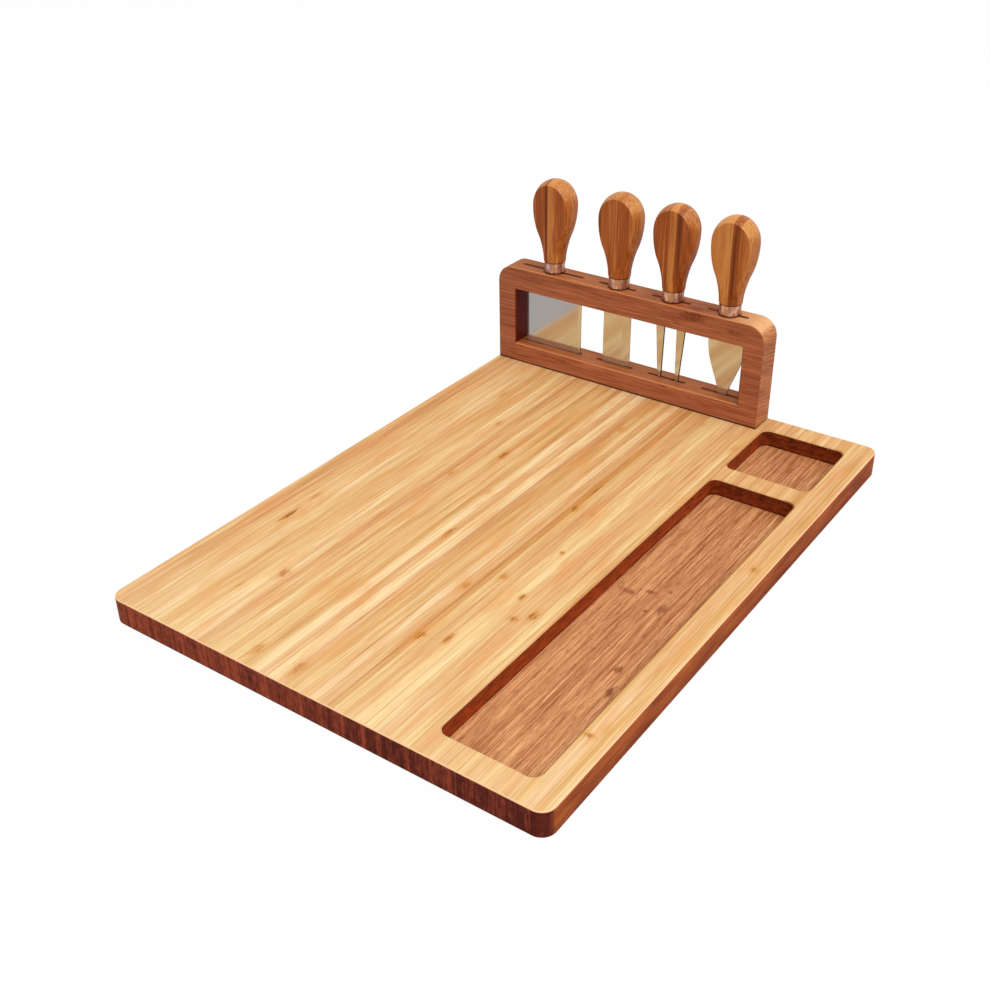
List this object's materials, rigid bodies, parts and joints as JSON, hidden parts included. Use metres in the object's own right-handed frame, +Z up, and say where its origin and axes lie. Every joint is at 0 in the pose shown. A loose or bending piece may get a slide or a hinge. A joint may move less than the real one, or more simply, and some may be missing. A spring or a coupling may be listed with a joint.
{
  "type": "cheese board",
  "caption": "Rectangular bamboo cheese board with routed wells along one side and an upright rack on its back edge that holds lift-out cheese knives by their ferrules.",
  "frame": {"origin": "on the table under the middle of the board", "axes": "+Z up, +Y along the board's length towards the knife rack, +X to the right towards the wells"},
  "size_m": [0.28, 0.38, 0.1515],
  "materials": {
    "board_bamboo": "satin, oiled vertical-grain bamboo strips",
    "rack_bamboo": "satin, oiled bamboo laminated in level layers",
    "handle_bamboo": "semi-gloss caramel bamboo",
    "blade_steel": "bright polished stainless steel",
    "ferrule_steel": "polished stainless steel",
    "screw_steel": "plated steel"
  },
  "bodies": {
    "board": {"board": "board_bamboo", "knife_rack": "rack_bamboo", "rack_screws": "screw_steel"},
    "cleaver": {"cleaver_blade": "blade_steel", "cleaver_ferrule": "ferrule_steel", "cleaver_handle": "handle_bamboo"},
    "plane_knife": {"plane_knife_blade": "blade_steel", "plane_knife_ferrule": "ferrule_steel", "plane_knife_handle": "handle_bamboo"},
    "cheese_fork": {"cheese_fork_prongs": "blade_steel", "cheese_fork_ferrule": "ferrule_steel", "cheese_fork_handle": "handle_bamboo"},
    "spade_knife": {"spade_knife_blade": "blade_steel", "spade_knife_ferrule": "ferrule_steel", "spade_knife_handle": "handle_bamboo"}
  },
  "joints": [
    {"name": "cleaver_lift", "type": "slide", "parent": "board", "child": "cleaver", "axis": [0, 0, 1], "range_m": [0, 0.07]},
    {"name": "plane_knife_lift", "type": "slide", "parent": "board", "child": "plane_knife", "axis": [0, 0, 1], "range_m": [0, 0.07]},
    {"name": "cheese_fork_lift", "type": "slide", "parent": "board", "child": "cheese_fork", "axis": [0, 0, 1], "range_m": [0, 0.07]},
    {"name": "spade_knife_lift", "type": "slide", "parent": "board", "child": "spade_knife", "axis": [0, 0, 1], "range_m": [0, 0.07]}
  ]
}
